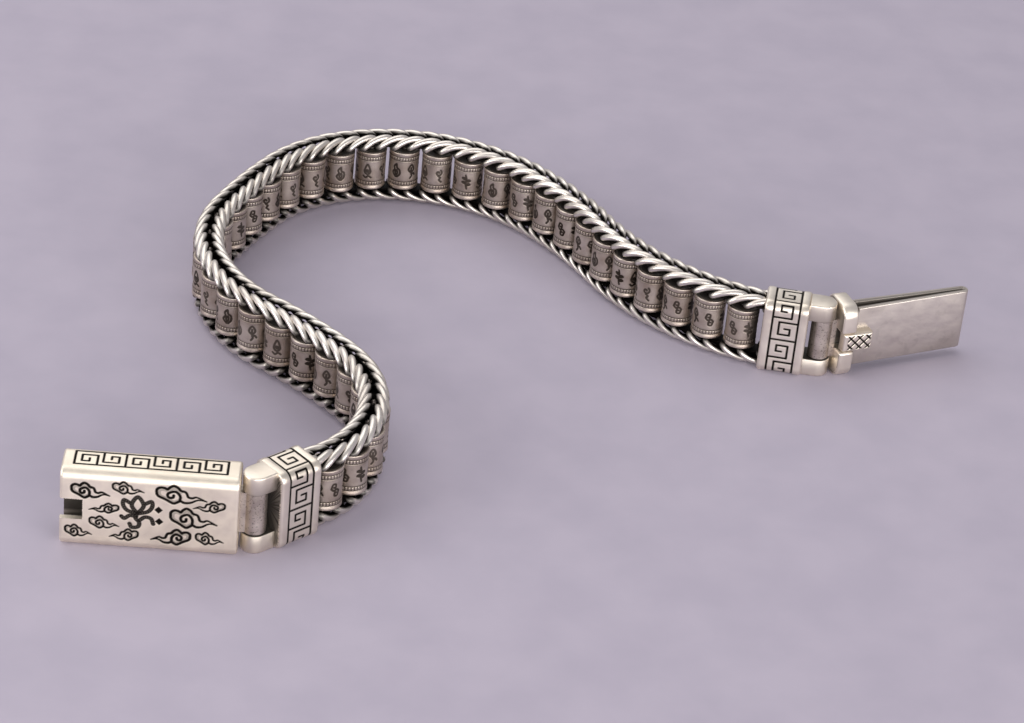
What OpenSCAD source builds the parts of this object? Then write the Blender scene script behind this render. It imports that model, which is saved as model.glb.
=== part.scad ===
// Prayer-wheel bracelet: a row of spinning wheels carried between two braided chains,
// with a hinged box at one end and a hinged spring tongue that locks into it at the other.
// The band lies on its edge in an open S curve. +X runs from the box towards the tongue, +Z is up.

/* [Band] */
// Width of the band, which is the height of the box and the end caps as it lies on edge
band_h = 9.6; // [9.2:0.1:10.4]
// Thickness of the box, the end caps and the tongue's face plate
band_t = 4.9; // [4.4:0.1:5.2]
// Radius of the long rounded edges
edge_r = 1.1; // [0.6:0.1:1.4]

/* [Wheels] */
// Distance between neighbouring wheel pins along the band
pitch = 4.2; // [4.1:0.05:4.5]
// Outer diameter of a wheel
wheel_d = 3.9; // [3.4:0.05:3.9]
// Diameter of the hollow inside a wheel
wheel_hollow_d = 2.6; // [2:0.1:2.8]
// Thickness of the disc that closes each end of a wheel
wheel_disc_t = 0.5; // [0.4:0.05:0.8]
// Diameter of the pin that a wheel turns on
pin_d = 1; // [0.8:0.05:1.2]
// Radial clearance of every turning fit
run_gap = 0.06; // [0.03:0.01:0.1]

/* [Braid] */
// Width of each braided chain
braid_w = 3.7; // [3.5:0.1:4]
// Thickness of each braided chain
braid_t = 2; // [1.6:0.1:2.2]
// Space between a wheel's end and the braid beside it
wheel_gap = 0.1; // [0.08:0.01:0.15]
// Height by which the end caps and the box stand proud of each braid
braid_inset = 0.15; // [0.05:0.05:0.3]
// Radius of the round end that joins one length of braid to the next
knuckle_r = 1.15; // [0.9:0.05:1.2]
// Bare braid between an end cap and the first wheel's length
lead = 0.4; // [0.4:0.1:1]

/* [End caps] */
// Length of an end cap along the band
cap_l = 5.3; // [4.5:0.1:6]
// Wall of an end cap
cap_wall = 0.55; // [0.45:0.05:0.6]
// Width of the polished rim at each end of a cap
rim_w = 1; // [0.6:0.05:1.1]
// Depth that the braids are soldered into a cap
stub_l = 2.8; // [2:0.1:3.2]
// Amount by which the soldered ends are slimmer than the braid on every side
stub_inset = 0.5; // [0.4:0.05:0.7]
// Radius of a hinge ear
ear_r = 1.45; // [1.35:0.05:1.5]
// Thickness of a hinge ear
ear_t = 2.2; // [1.6:0.1:2.4]
// Radius of the barrel between two ears
barrel_r = 1.25; // [1.1:0.05:1.3]
// Width of the neck that carries the barrel
neck_w = 1.6; // [1.2:0.1:2]
// Diameter of the hinge pins
hinge_pin_d = 1.2; // [1:0.05:1.4]
// Distance from a hinge pin to the flat end on either side of it
hinge_reach = 1.6; // [1.6:0.05:2.3]

/* [Box] */
// Length of the box
box_l = 18.8; // [18.6:0.1:22]
// Wall of the box
box_wall = 0.65; // [0.55:0.05:0.7]
// Thickness of the box's closed end
box_end_t = 1.2; // [1:0.1:2]
// Length of the notch that lets the thumb catch out
notch_l = 2.4; // [2.3:0.1:2.8]
// Height of the notch
notch_h = 2.5; // [2.4:0.1:2.8]

/* [Tongue] */
// Thickness of the tongue's face plate
plate_t = 1.9; // [1.5:0.1:2.1]
// Length of the folded blade beyond the face plate
blade_l = 15.7; // [14:0.1:16]
// Height of the blade
blade_h = 7.8; // [7:0.1:8]
// Thickness of the strip that the blade is folded from
leaf_t = 0.6; // [0.4:0.05:0.65]
// Inner radius of the fold at the blade's tip
fold_r = 0.12; // [0.1:0.01:0.25]
// Angle that the spring leaf stands open at rest, in degrees
leaf_open = 3; // [2:0.1:3.6]
// Height of the thumb catch
catch_h = 2.3; // [1.8:0.1:2.3]
// Length of the thumb catch beyond the face plate
catch_l = 2.2; // [1.8:0.1:2.2]

/* [Hidden] */
// Bend of each length of the band, in degrees, from the box end to the tongue end.
RUN_TURN = [48, 46, 12, -34, -39, -10, -40, -35, -30, -16, 21, 24];
// Where the first length starts, [x, y, heading], with the whole object centred on the origin.
CHAIN_START = [-23.9, -33.8, 39];
// Headings of the box, the two end caps and the tongue.
BOX_HEADING = 2.6;
BOX_CAP_HEADING = 44;
TONGUE_CAP_HEADING = -6;
TONGUE_HEADING = 24;

RUNS = len(RUN_TURN);
RUN_WHEELS = 3;
WHEELS = RUNS * RUN_WHEELS;
run_l = RUN_WHEELS * pitch;
stack_h = band_h - 2 * braid_inset;
wheel_h = stack_h - 2 * (braid_t + wheel_gap);
wheel_z = braid_inset + braid_t + wheel_gap;
top_braid_z = wheel_z + wheel_h + wheel_gap;
set_back = 0.5;
rivet_gap = 0.02;
solder_gap = 0.05;
hinge_gap = 0.1;
knuckle_h = band_h - 2 * (ear_t + hinge_gap);
ear_skin = 0.35;
pin_end = 0.2;
fold_y = 0.3;
fold_x = hinge_reach + plate_t + blade_l - fold_r - leaf_t;
leaf_end_gap = 0.5;
fold_gap = 0.12;
leaf_l = blade_l - fold_r - leaf_t - leaf_end_gap;
catch_y = -band_t / 2;
catch_set_back = 0.35;
SILVER = [0.78, 0.75, 0.71];
DARK_SILVER = [0.5, 0.45, 0.41];
ROUGH_SILVER = [0.6, 0.56, 0.52];
e = 0.01;

function numbered(stem, i) = str(stem, i < 10 ? "0" : "", i);
function wheel_name(i) = numbered("wheel_", i);
function run_name(k) = numbered("braid_pair_", k);

CLASP = ["box_shell", "box_knuckle", "box_hinge_pin", "box_side_cap", "tongue_side_cap",
         "tongue_hinge_pin", "tongue_knuckle", "tongue_face_plate", "tongue_back_leaf",
         "tongue_spring_leaf", "thumb_catch"];

// A pose is [x, y, heading]. These follow the band's middle line.
function turned(pose, heading) = [pose[0], pose[1], heading];
function ahead(pose, s) = [pose[0] + s * cos(pose[2]), pose[1] + s * sin(pose[2]), pose[2]];
function bend_r(turn) = run_l / (turn * PI / 180);
function along(pose, turn, s) =
    let (a = turn * s / run_l, r = bend_r(turn))
    [pose[0] + r * (sin(pose[2] + a) - sin(pose[2])),
     pose[1] - r * (cos(pose[2] + a) - cos(pose[2])),
     pose[2] + a];
function run_pose(k) = k == 1
    ? CHAIN_START
    : along(run_pose(k - 1), RUN_TURN[k - 2], run_l);
function run_of(i) = floor((i - 1) / RUN_WHEELS) + 1;
function wheel_pose(i) =
    let (k = run_of(i))
    along(run_pose(k), RUN_TURN[k - 1], ((i - 1) % RUN_WHEELS + 0.5) * pitch);

chain_end = run_pose(RUNS + 1);
cap_span = lead + cap_l + hinge_reach;
box_cap_pose = ahead(turned(CHAIN_START, BOX_CAP_HEADING), -cap_span);
box_pose = turned(box_cap_pose, BOX_HEADING);
// The second cap is the first one turned end for end.
tongue_cap_pose = turned(ahead(turned(chain_end, TONGUE_CAP_HEADING), cap_span),
                         TONGUE_CAP_HEADING + 180);
tongue_pose = turned(tongue_cap_pose, TONGUE_HEADING);

module at(pose) { translate([pose[0], pose[1], 0]) rotate([0, 0, pose[2]]) children(); }

// Upright rounded rectangle: w across the band, h up.
module rounded(w, h, r) {
    square([w - 2 * r, h], center = true);
    square([w, h - 2 * r], center = true);
    for (y = [-1, 1], z = [-1, 1])
        translate([y * (w / 2 - r), z * (h / 2 - r)]) circle(r, $fn = 48);
}

// A length of rounded bar along +X from x0, centred on the band's height.
module bar(x0, length, inset = 0, r = edge_r) {
    translate([x0, 0, band_h / 2]) rotate([90, 0, 90])
        linear_extrude(length) rounded(band_t - 2 * inset, band_h - 2 * inset, r);
}

module slab(x0, length, width, z0, height) {
    translate([x0, -width / 2, z0]) cube([length, width, height]);
}

module rod(d, z0, height) { translate([0, 0, z0]) cylinder(d = d, h = height, $fn = 48); }

// Clasp box -----------------------------------------------------------------------------

module box_shell() {
    color(SILVER) at(box_pose) difference() {
        bar(-hinge_reach - box_l, box_l);
        bar(-hinge_reach - box_l - 1, box_l + 1 - box_end_t, box_wall, edge_r - box_wall + 0.1);
        translate([-hinge_reach - box_l - 1, -band_t, (band_h - notch_h) / 2])
            cube([notch_l + 1, band_t, notch_h]);
    }
}

// The middle leaf of a hinge: a barrel with a flat neck that reaches back to its plate.
module barrel() {
    z0 = (band_h - knuckle_h) / 2;
    difference() {
        union() {
            rod(2 * barrel_r, z0, knuckle_h);
            slab(0, hinge_reach, neck_w, z0, knuckle_h);
        }
        rod(hinge_pin_d + 2 * run_gap, 0, band_h);
    }
}

module box_knuckle() { color(ROUGH_SILVER) at(box_pose) mirror([1, 0, 0]) barrel(); }

// End caps ------------------------------------------------------------------------------

// A ferrule over the ends of both braids, with two hinge ears.
module cap() {
    mouth = hinge_reach + cap_l;
    pocket_l = stub_l + solder_gap;
    groove_d = 0.15;
    groove_w = 0.25;
    difference() {
        union() {
            bar(hinge_reach, cap_l);
            for (z = [0, band_h - ear_t]) {
                rod(2 * ear_r, z, ear_t);
                slab(0, hinge_reach + e, 2 * ear_r, z, ear_t);
            }
        }
        bar(mouth - pocket_l, pocket_l + 1, cap_wall, edge_r - cap_wall + 0.1);
        for (x = [hinge_reach + rim_w, mouth - rim_w - groove_w]) difference() {
            bar(x, groove_w, -1);
            bar(x - 1, groove_w + 2, groove_d);
        }
        rod(hinge_pin_d + 2 * rivet_gap, -1, band_h - ear_skin + 1);
    }
}

module hinge_pin() { rod(hinge_pin_d, pin_end, band_h - ear_skin - pin_end - solder_gap); }

module box_side_cap() { color(SILVER) at(box_cap_pose) cap(); }
module box_hinge_pin() { color(ROUGH_SILVER) at(box_cap_pose) hinge_pin(); }
module tongue_side_cap() { color(SILVER) at(tongue_cap_pose) cap(); }
module tongue_hinge_pin() { color(ROUGH_SILVER) at(tongue_cap_pose) hinge_pin(); }

// Braided chains ------------------------------------------------------------------------

module braid_section() {
    c = 0.35;
    w = braid_w / 2;
    polygon([[-w + c, 0], [w - c, 0], [w, c], [w, braid_t - c],
             [w - c, braid_t], [-w + c, braid_t], [-w, braid_t - c], [-w, c]]);
}

// One bent length of braid, laid from the origin along +X.
module bent_braid(turn) {
    r = bend_r(abs(turn));
    mirror([0, turn < 0 ? 1 : 0, 0]) translate([0, r, 0]) rotate([0, 0, -90])
        rotate_extrude(angle = abs(turn), $fn = 180) translate([r, 0]) braid_section();
}

// The bare end of a braid, with the slimmer part that is soldered into the cap.
module braid_end() {
    overlap = 0.3;
    translate([-overlap, 0, 0]) rotate([90, 0, 90]) linear_extrude(lead + overlap) braid_section();
    slab(lead - e, stub_l + e, braid_w - 2 * stub_inset, stub_inset, braid_t - 2 * stub_inset);
}

// The braid's flexing joint: a round end on one length sits in a hollow end of the next.
module braid_length(k) {
    turn = RUN_TURN[k - 1];
    last = along([0, 0, 0], turn, run_l);
    wide = braid_w + 2;
    difference() {
        union() {
            difference() {
                bent_braid(turn);
                if (k > 1) translate([-1, -wide / 2, -1]) cube([1 + set_back, wide, braid_t + 2]);
                if (k < RUNS) at(last)
                    translate([-set_back, -wide / 2, -1]) cube([1 + set_back, wide, braid_t + 2]);
            }
            if (k < RUNS) at(last) cylinder(r = knuckle_r, h = braid_t, $fn = 48);
            if (k == 1) rotate([0, 0, BOX_CAP_HEADING - CHAIN_START[2] + 180]) braid_end();
            if (k == RUNS) at(last) rotate([0, 0, TONGUE_CAP_HEADING - chain_end[2]]) braid_end();
        }
        if (k > 1) translate([0, 0, -1]) cylinder(r = knuckle_r + run_gap, h = braid_t + 2, $fn = 48);
        for (j = [0:RUN_WHEELS - 1]) at(along([0, 0, 0], turn, (j + 0.5) * pitch))
            rod(pin_d + 2 * rivet_gap, -1, braid_t + 2);
    }
}

// Upper and lower braid of one length, with the pins riveted through both.
module braid_pair(k) {
    color(SILVER) at(run_pose(k)) {
        translate([0, 0, braid_inset]) braid_length(k);
        translate([0, 0, top_braid_z]) braid_length(k);
        for (j = [0:RUN_WHEELS - 1]) at(along([0, 0, 0], RUN_TURN[k - 1], (j + 0.5) * pitch))
            rod(pin_d, braid_inset, stack_h);
    }
}

// Wheels --------------------------------------------------------------------------------

// Half section of a wheel: a tube with raised end rims, closed by two bored discs.
module wheel_section() {
    r = wheel_d / 2;
    bore = pin_d / 2 + run_gap;
    hollow = wheel_hollow_d / 2;
    groove = 0.07;
    rim = 0.3;
    bead = 0.95;
    c = 0.08;
    lower = [[bore, 0], [r - c, 0], [r, c], [r, rim], [r - groove, rim + c], [r - groove, bead],
             [r - groove / 2, bead + c]];
    upper = [for (n = [len(lower) - 1:-1:0]) [lower[n][0], wheel_h - lower[n][1]]];
    difference() {
        polygon(concat(lower, upper));
        translate([-1, wheel_disc_t]) square([hollow + 1, wheel_h - 2 * wheel_disc_t]);
    }
}

module wheel(i) {
    color(DARK_SILVER) at(wheel_pose(i)) translate([0, 0, wheel_z])
        rotate_extrude($fn = 48) wheel_section();
}

// Tongue --------------------------------------------------------------------------------

module tongue_knuckle() { color(ROUGH_SILVER) at(tongue_pose) barrel(); }

// A plate that closes the box's mouth, slotted from its outer side for the thumb catch.
module tongue_face_plate() {
    color(SILVER) at(tongue_pose) difference() {
        bar(hinge_reach, plate_t);
        translate([hinge_reach - 1, -band_t, (band_h - notch_h) / 2])
            cube([plate_t + 2, band_t, notch_h]);
    }
}

// The fixed leaf, with the fold that carries the spring leaf at its tip.
module tongue_back_leaf() {
    z0 = (band_h - blade_h) / 2;
    start = hinge_reach + plate_t;
    outer = fold_r + leaf_t;
    color(SILVER) at(tongue_pose) {
        translate([start, fold_y + fold_r, z0]) cube([fold_x - start + e, leaf_t, blade_h]);
        translate([fold_x, fold_y, z0]) difference() {
            cylinder(r = outer, h = blade_h, $fn = 48);
            translate([0, 0, -1]) cylinder(r = fold_r, h = blade_h + 2, $fn = 48);
            translate([-2 * outer, -2 * outer, -1]) cube([2 * outer, 4 * outer, blade_h + 2]);
        }
    }
}

// Frame whose origin is the fold's axis, with -X along the spring leaf.
module to_spring_leaf() {
    at(tongue_pose) translate([fold_x, fold_y, 0]) rotate([0, 0, leaf_open]) children();
}

module tongue_spring_leaf() {
    color(SILVER) to_spring_leaf()
        translate([-leaf_l, -fold_r - leaf_t, (band_h - blade_h) / 2])
        cube([leaf_l - fold_gap, leaf_t, blade_h]);
}

// The ridged block under the thumb. It stands on the spring leaf and reaches into the slot.
module thumb_catch() {
    x0 = hinge_reach + catch_set_back;
    x1 = hinge_reach + plate_t + catch_l;
    foot_y = fold_y - fold_r - leaf_t - (fold_x - x1) * tan(leaf_open);
    color(SILVER) at(tongue_pose) difference() {
        translate([x0, catch_y, (band_h - catch_h) / 2])
            cube([x1 - x0, foot_y - catch_y, catch_h]);
        behind_spring_leaf();
    }
}

// Everything on the inner side of the spring leaf's outer face.
module behind_spring_leaf() {
    translate([fold_x, fold_y, 0]) rotate([0, 0, leaf_open])
        translate([-2 * leaf_l, -fold_r - leaf_t, -1]) cube([3 * leaf_l, band_t, band_h + 2]);
}

box_shell();
box_knuckle();
box_hinge_pin();
box_side_cap();
tongue_side_cap();
tongue_hinge_pin();
tongue_knuckle();
tongue_face_plate();
tongue_back_leaf();
tongue_spring_leaf();
thumb_catch();
for (k = [1:RUNS]) braid_pair(k);
for (i = [1:WHEELS]) wheel(i);
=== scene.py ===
"""Looks of the prayer-wheel bracelet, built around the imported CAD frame.

Pieces are modelled in millimetres in a local frame (x along the band, y across it, z up) and placed in
the row frame in metres. The band's course and its main sizes repeat part.scad.
"""

import math

import bmesh
import bpy
import numpy as np
from mathutils import Matrix, Vector


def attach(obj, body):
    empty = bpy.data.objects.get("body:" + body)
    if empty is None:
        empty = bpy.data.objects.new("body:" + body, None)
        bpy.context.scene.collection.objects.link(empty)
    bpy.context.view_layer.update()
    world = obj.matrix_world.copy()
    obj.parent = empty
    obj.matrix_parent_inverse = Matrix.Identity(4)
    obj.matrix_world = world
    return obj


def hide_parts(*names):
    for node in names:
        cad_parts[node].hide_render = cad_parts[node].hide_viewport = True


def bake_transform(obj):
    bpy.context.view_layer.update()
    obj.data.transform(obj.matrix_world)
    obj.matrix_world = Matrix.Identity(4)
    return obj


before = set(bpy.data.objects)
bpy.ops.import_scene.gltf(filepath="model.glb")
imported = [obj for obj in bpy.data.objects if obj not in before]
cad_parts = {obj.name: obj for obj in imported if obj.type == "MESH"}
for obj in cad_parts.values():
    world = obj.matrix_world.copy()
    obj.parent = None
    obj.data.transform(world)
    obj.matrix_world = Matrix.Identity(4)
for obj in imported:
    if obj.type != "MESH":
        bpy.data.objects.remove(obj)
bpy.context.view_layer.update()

MM = 0.001
SEED = 20

# Band, as in part.scad ----------------------------------------------------------------------
BAND_H = 9.6
BAND_T = 4.9
EDGE_R = 1.1
PITCH = 4.2
RUN_TURN = [48, 46, 12, -34, -39, -10, -40, -35, -30, -16, 21, 24]
RUNS = len(RUN_TURN)
RUN_WHEELS = 3
WHEELS = RUNS * RUN_WHEELS
RUN_L = RUN_WHEELS * PITCH
CHAIN_L = RUNS * RUN_L
CHAIN_START = (-23.9, -33.8, 39)
BOX_HEADING = 2.6
BOX_CAP_HEADING = 44
TONGUE_CAP_HEADING = -6
TONGUE_HEADING = 24
HINGE_REACH = 1.6
LEAD = 0.4
CAP_L = 5.3
STUB_L = 2.8
EAR_R = 1.45
EAR_T = 2.2
BOX_L = 18.8
BOX_WALL = 0.65
BOX_END_T = 1.2
NOTCH_L = 2.4
NOTCH_H = 2.5
PLATE_T = 1.9
BLADE_L = 15.7
BLADE_H = 7.8
LEAF_T = 0.6
FOLD_R = 0.12
FOLD_Y = 0.3
LEAF_OPEN = 3.0
LEAF_END_GAP = 0.5
CATCH_H = 2.3
CATCH_L = 2.2
CATCH_SET_BACK = 0.35
WHEEL_D = 3.9
WHEEL_H = 5.1
WHEEL_Z = 2.25
PIN_D = 1.0
BRAID_BOTTOM = 0.15
MID_Z = BAND_H / 2


def run_body(k):
    """CAD body of one run of three wheels, counted from 1."""
    return {1: "box_end", RUNS: "tongue_end"}.get(k, f"run_{k:02d}")


# The band's middle line ---------------------------------------------------------------------

def ahead(pose, s):
    x, y, a = pose
    return (x + s * math.cos(math.radians(a)), y + s * math.sin(math.radians(a)), a)


def along(pose, turn, s):
    """Pose after s millimetres of a run that turns by `turn` degrees over its whole length."""
    x, y, a = pose
    r = RUN_L / math.radians(turn)
    h, g = math.radians(a), math.radians(a + turn * s / RUN_L)
    return (x + r * (math.sin(g) - math.sin(h)), y - r * (math.cos(g) - math.cos(h)), math.degrees(g))


def turned(pose, heading):
    return (pose[0], pose[1], heading)


RUN_POSES = [CHAIN_START]
for run_turn in RUN_TURN:
    RUN_POSES.append(along(RUN_POSES[-1], run_turn, RUN_L))
CAP_SPAN = LEAD + CAP_L + HINGE_REACH
CAP_POSE = ahead(turned(CHAIN_START, BOX_CAP_HEADING), -CAP_SPAN)
BOX_POSE = turned(CAP_POSE, BOX_HEADING)
END_CAP_POSE = ahead(turned(RUN_POSES[-1], TONGUE_CAP_HEADING), CAP_SPAN)
TONGUE_POSE = turned(END_CAP_POSE, TONGUE_HEADING)


def chain_pose(s):
    """Pose on the chain's middle line, s millimetres after the start of the first run."""
    if s <= 0:
        return ahead(turned(RUN_POSES[0], BOX_CAP_HEADING), s)
    if s >= CHAIN_L:
        return ahead(turned(RUN_POSES[-1], TONGUE_CAP_HEADING), s - CHAIN_L)
    k = min(int(s // RUN_L), RUNS - 1)
    return along(RUN_POSES[k], RUN_TURN[k], s - k * RUN_L)


def chain_points(p):
    """(along, across, up) points carried onto the bent middle line, row frame in millimetres."""
    poses = np.array([chain_pose(s) for s in p[:, 0]])
    a = np.radians(poses[:, 2])
    x = poses[:, 0] - p[:, 1] * np.sin(a)
    y = poses[:, 1] + p[:, 1] * np.cos(a)
    return np.stack([x, y, p[:, 2]], axis=1)


def placed(p, pose):
    """Local points of a rigid piece in the row frame, in millimetres."""
    a = math.radians(pose[2])
    x = pose[0] + p[:, 0] * math.cos(a) - p[:, 1] * math.sin(a)
    y = pose[1] + p[:, 0] * math.sin(a) + p[:, 1] * math.cos(a)
    return np.stack([x, y, p[:, 2]], axis=1)


# Mesh building ------------------------------------------------------------------------------

class Shape:
    """Collects vertices, faces and the darkening mask of one piece: oxide in engraving and hollows, and
    painted shade on faces that lie in shade.
    """

    def __init__(self):
        self.points, self.inks, self.quads, self.polys, self.count = [], [], [], [], 0

    def add(self, p, ink=0.0):
        p = np.asarray(p, float).reshape(-1, 3)
        if np.size(ink) > 1:
            ink = np.broadcast_to(np.asarray(ink, float).ravel(), (len(p),))
        else:
            ink = np.full(len(p), float(ink))
        start = self.count
        self.points.append(p)
        self.inks.append(ink)
        self.count += len(p)
        return start

    def grid(self, p, ink=0.0, closed_u=False, closed_v=False, keep=None):
        """Quads over an (n, m) grid of points. keep is a mask of the cells that stay."""
        n, m = p.shape[:2]
        start = self.add(p, ink)
        index = start + np.arange(n * m).reshape(n, m)
        if closed_u:
            index = np.concatenate([index, index[:1]], axis=0)
        if closed_v:
            index = np.concatenate([index, index[:, :1]], axis=1)
        q = np.stack([index[:-1, :-1], index[1:, :-1], index[1:, 1:], index[:-1, 1:]], axis=-1)
        if keep is not None:
            q = q[keep]
        self.quads.append(q.reshape(-1, 4))

    def fan(self, loop, centre, ink=0.0, flip=False):
        """Triangles from a closed loop of points to a centre."""
        start = self.add(np.vstack([loop, [centre]]), ink)
        n = len(loop)
        for i in range(n):
            j = (i + 1) % n
            first, second = (j, i) if flip else (i, j)
            self.polys.append((start + first, start + second, start + n))

    def face(self, loop, ink=0.0, flip=False):
        """One flat face, which may be concave."""
        start = self.add(loop, ink)
        order = list(range(start, start + len(loop)))
        self.polys.append(tuple(order[::-1] if flip else order))

    def build(self, name, material, to_row, crease=35, weld=True):
        """Makes the object. to_row carries the local points to the row frame in millimetres."""
        co = to_row(np.vstack(self.points)) * MM
        ink = np.concatenate(self.inks)
        mesh = bpy.data.meshes.new(name)
        quads = np.vstack(self.quads) if self.quads else np.zeros((0, 4), int)
        loops = np.concatenate([quads.ravel(), np.array([i for f in self.polys for i in f], int)])
        sizes = np.concatenate([np.full(len(quads), 4), np.array([len(f) for f in self.polys], int)])
        starts = np.concatenate([[0], np.cumsum(sizes)[:-1]])
        mesh.vertices.add(len(co))
        mesh.vertices.foreach_set("co", co.astype(np.float32).ravel())
        mesh.loops.add(len(loops))
        mesh.loops.foreach_set("vertex_index", loops.astype(np.int32))
        mesh.polygons.add(len(sizes))
        mesh.polygons.foreach_set("loop_start", starts.astype(np.int32))
        mesh.polygons.foreach_set("loop_total", sizes.astype(np.int32))
        mesh.update(calc_edges=True)
        # This mask holds oxide in the engraving and hollows, and painted shade on faces that lie in shade.
        layer = mesh.attributes.new("ink", "FLOAT", "POINT")
        layer.data.foreach_set("value", ink.astype(np.float32))
        mesh.validate()
        if weld:
            tidy_mesh(mesh)
        mesh.shade_smooth()
        mesh.set_sharp_from_angle(angle=math.radians(crease))
        obj = bpy.data.objects.new(name, mesh)
        bpy.context.scene.collection.objects.link(obj)
        mesh.materials.append(material)
        return obj


def tidy_mesh(mesh):
    """Joins the seams between grids and turns every face outwards."""
    bm = bmesh.new()
    bm.from_mesh(mesh)
    bmesh.ops.remove_doubles(bm, verts=bm.verts, dist=0.0005 * MM)
    bmesh.ops.recalc_face_normals(bm, faces=bm.faces)
    bm.to_mesh(mesh)
    bm.free()


def smoothstep(lo, hi, x):
    t = np.clip((x - lo) / (hi - lo), 0, 1)
    return t * t * (3 - 2 * t)


def round_over(d, radius):
    """Inset at distance d from a sharp edge that rounds it to the radius."""
    return np.where(d < radius, radius - np.sqrt(np.maximum(radius ** 2 - (radius - d) ** 2, 0)), 0)


# Engraving ----------------------------------------------------------------------------------

LINE_BLUR = 0.035


def dense(points, step=0.03, closed=False):
    """The polyline resampled about every `step` millimetres."""
    p = np.asarray(points, float)
    if closed:
        p = np.vstack([p, p[:1]])
    out = []
    for a, b in zip(p[:-1], p[1:]):
        n = max(1, int(np.ceil(np.linalg.norm(b - a) / step)))
        out.append(a + (b - a) * np.linspace(0, 1, n, endpoint=False)[:, None])
    return np.vstack(out + [p[-1:]])


def smooth_curve(points, n=14, closed=False):
    """Catmull-Rom curve through the points."""
    p = np.asarray(points, float)
    if closed:
        p = np.vstack([p[-1:], p, p[:2]])
    else:
        p = np.vstack([2 * p[0] - p[1], p, 2 * p[-1] - p[-2]])
    t = np.linspace(0, 1, n, endpoint=False)[:, None]
    out = []
    for a, b, c, d in zip(p[:-3], p[1:-2], p[2:-1], p[3:]):
        out.append(0.5 * (2 * b + (c - a) * t + (2 * a - 5 * b + 4 * c - d) * t ** 2
                          + (3 * b - a - 3 * c + d) * t ** 3))
    if not closed:
        out.append(p[-2:-1])
    return np.vstack(out)


def draw(ink, u, v, stroke, half, blur=LINE_BLUR):
    """Adds a stroke to the mask `ink` over surface coordinates u and v. half may vary along it."""
    half = np.broadcast_to(np.asarray(half, float), (len(stroke),))
    reach = half.max() + blur
    near = ((u > stroke[:, 0].min() - reach) & (u < stroke[:, 0].max() + reach)
            & (v > stroke[:, 1].min() - reach) & (v < stroke[:, 1].max() + reach))
    if not near.any():
        return
    uu, vv = u[near], v[near]
    gap = np.full(uu.shape, 1e9)
    for (a, b), h in zip(stroke, half):
        np.minimum(gap, np.hypot(uu - a, vv - b) - h, out=gap)
    ink[near] = np.maximum(ink[near], 1 - smoothstep(-blur, blur, gap))


FRET_PERIOD = 5.302
FRET_NEAR, FRET_FAR, FRET_MID = 0.27, 0.745, 0.5
KEY_TOP, KEY_IN, KEY_ENTRY = 0.73, 1.52, 2.35


def fret_strokes(width, period, repeats, t0=0.0):
    """Key fret in (w, t): pairs of keys turned point to point, parted by lines across."""
    near, far, mid = FRET_NEAR * width, FRET_FAR * width, FRET_MID * width
    scale = period / FRET_PERIOD
    key = np.array([[0, KEY_ENTRY], [far, KEY_ENTRY], [far, KEY_TOP], [near, KEY_TOP],
                    [near, KEY_IN], [mid, KEY_IN]]) * [1, scale]
    out = []
    for n in range(repeats):
        shift = np.array([0, t0 + n * period])
        out.append(dense(key + shift))
        out.append(dense(np.array([width, period]) - key + shift))
        out.append(dense(np.array([[0, 0], [width, 0]]) + shift))
    return out


CLOUD_TOP = ((0.05, 0.00), (0.05, 0.10), (0.115, 0.15), (0.20, 0.145), (0.25, 0.12), (0.30, 0.17),
             (0.37, 0.205), (0.45, 0.17), (0.505, 0.11), (0.59, 0.085), (0.625, 0.035), (0.65, -0.025),
             (0.72, -0.043), (0.795, -0.017), (0.88, -0.043), (1.0, -0.10))
CLOUD_FRONT = ((0.05, 0.00), (0.09, -0.05), (0.183, -0.094), (0.25, -0.128), (0.32, -0.17),
               (0.379, -0.19), (0.455, -0.153), (0.49, -0.128))
CLOUD_BELLY = ((0.506, -0.128), (0.583, -0.162), (0.694, -0.149), (0.796, -0.094), (0.88, -0.075),
               (1.0, -0.10))
CLOUD_CURL = ((0.49, -0.128), (0.498, -0.034), (0.464, 0.034), (0.404, 0.077), (0.336, 0.068),
              (0.265, 0.025), (0.26, -0.035), (0.30, -0.07), (0.36, -0.055), (0.37, -0.01))
CLOUD_STROKES = (CLOUD_TOP, CLOUD_FRONT, CLOUD_BELLY, CLOUD_CURL)


def cloud(ink, u, v, centre, width, direction, line, rise=1.0):
    """A curled cloud with a tail. The contour swells on its round side and thins along the tail."""
    def place(points):
        return (points - [0.5, 0]) * [direction * width, width * rise] + centre
    for points in CLOUD_STROKES:
        path = smooth_curve(points, 8)
        swell = 1.3 - 0.6 * smoothstep(0.5, 1.0, path[:, 0])
        fine = dense(place(path), 0.05)
        at = np.linspace(0, 1, len(fine))
        draw(ink, u, v, fine, line * np.interp(at, np.linspace(0, 1, len(swell)), swell))
    shade = np.zeros(ink.shape)
    for points in (CLOUD_TOP[:9], CLOUD_FRONT[:7]):
        fine = dense(place(smooth_curve(points, 8) * [0.93, 0.86] + [0.035, -0.004]), 0.05)
        draw(shade, u, v, fine, np.full(len(fine), 2.0 * line))
    np.maximum(ink, 0.42 * shade, out=ink)


def rope(ink, u, v, stroke, half, pitch=0.26):
    """A thick stroke hatched across like twisted cord."""
    fine = dense(stroke, 0.04)
    near = (np.abs(u - fine[:, 0].mean()) < 4) & (np.abs(v - fine[:, 1].mean()) < 4)
    uu, vv = u[near], v[near]
    gap = np.full(uu.shape, 1e9)
    arc = np.zeros(uu.shape)
    lengths = np.concatenate([[0], np.cumsum(np.hypot(*np.diff(fine, axis=0).T))])
    for (a, b), length in zip(fine, lengths):
        d = np.hypot(uu - a, vv - b)
        closer = d < gap
        gap[closer] = d[closer]
        arc[closer] = length
    body = 1 - smoothstep(half - LINE_BLUR, half + LINE_BLUR, gap)
    hatch = 0.5 + 0.5 * np.sin(2 * math.pi * (arc / pitch + 0.8 * gap / half))
    edge = smoothstep(0.45 * half, 0.7 * half, gap)
    ink[near] = np.maximum(ink[near], body * np.maximum(0.90 + 0.10 * hatch, edge))


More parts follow.
